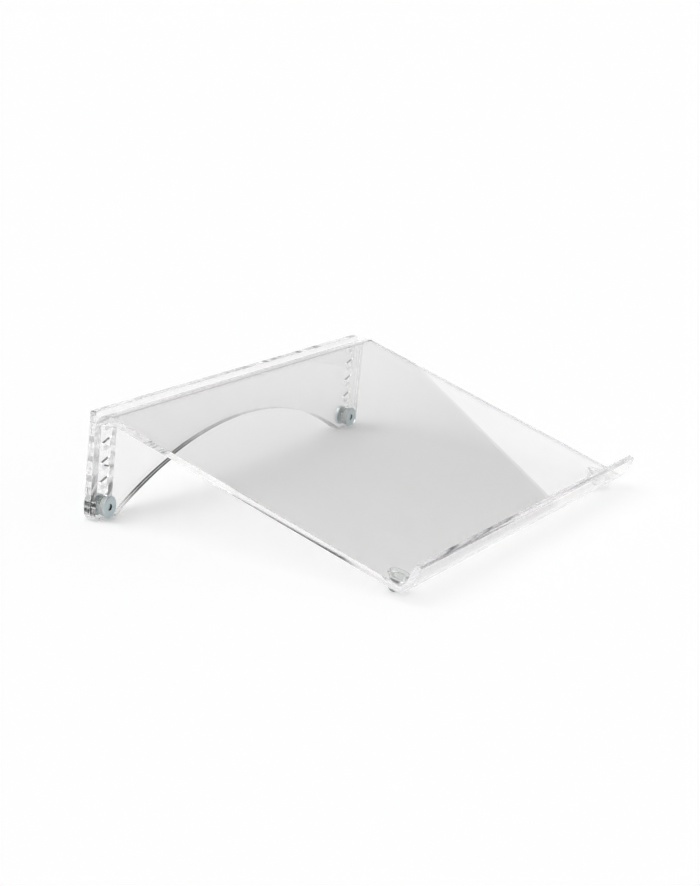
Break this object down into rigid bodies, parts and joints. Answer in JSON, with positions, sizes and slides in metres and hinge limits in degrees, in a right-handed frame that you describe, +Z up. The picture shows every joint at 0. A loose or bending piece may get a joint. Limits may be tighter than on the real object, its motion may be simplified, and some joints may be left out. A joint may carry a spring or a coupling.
{
  "type": "document holder",
  "caption": "Clear sloping document holder with a front lip, carried at the rear by a hooked height plate that sets its slope.",
  "frame": {"origin": "centre of the bounding box in plan, on the desk plane that the feet and bumpers stand on", "axes": "+X to the reader's right across the board, +Y to the rear towards the height plate, +Z up; the lip is towards -Y"},
  "size_m": [0.415, 0.2856, 0.0854],
  "materials": {
    "clear_acrylic": "clear polished acrylic sheet, 5 mm thick, flame-polished edges",
    "zinc_fastener": "pale blue-grey zinc plate, satin",
    "clear_washer": "translucent natural nylon, smooth",
    "clear_bumper": "clear soft polyurethane, glossy"
  },
  "bodies": {
    "holder": {"board": "clear_acrylic", "left_screw": "zinc_fastener", "right_screw": "zinc_fastener", "left_washer": "clear_washer", "right_washer": "clear_washer", "left_nut": "zinc_fastener", "right_nut": "zinc_fastener", "left_bumper": "clear_bumper", "right_bumper": "clear_bumper"},
    "height_plate": {"height_plate": "clear_acrylic"}
  },
  "joints": [
    {"name": "height_plate_release", "type": "slide", "parent": "holder", "child": "height_plate", "axis": [-0.9511, 0, -0.309], "range_m": [0, 0.0105]}
  ]
}
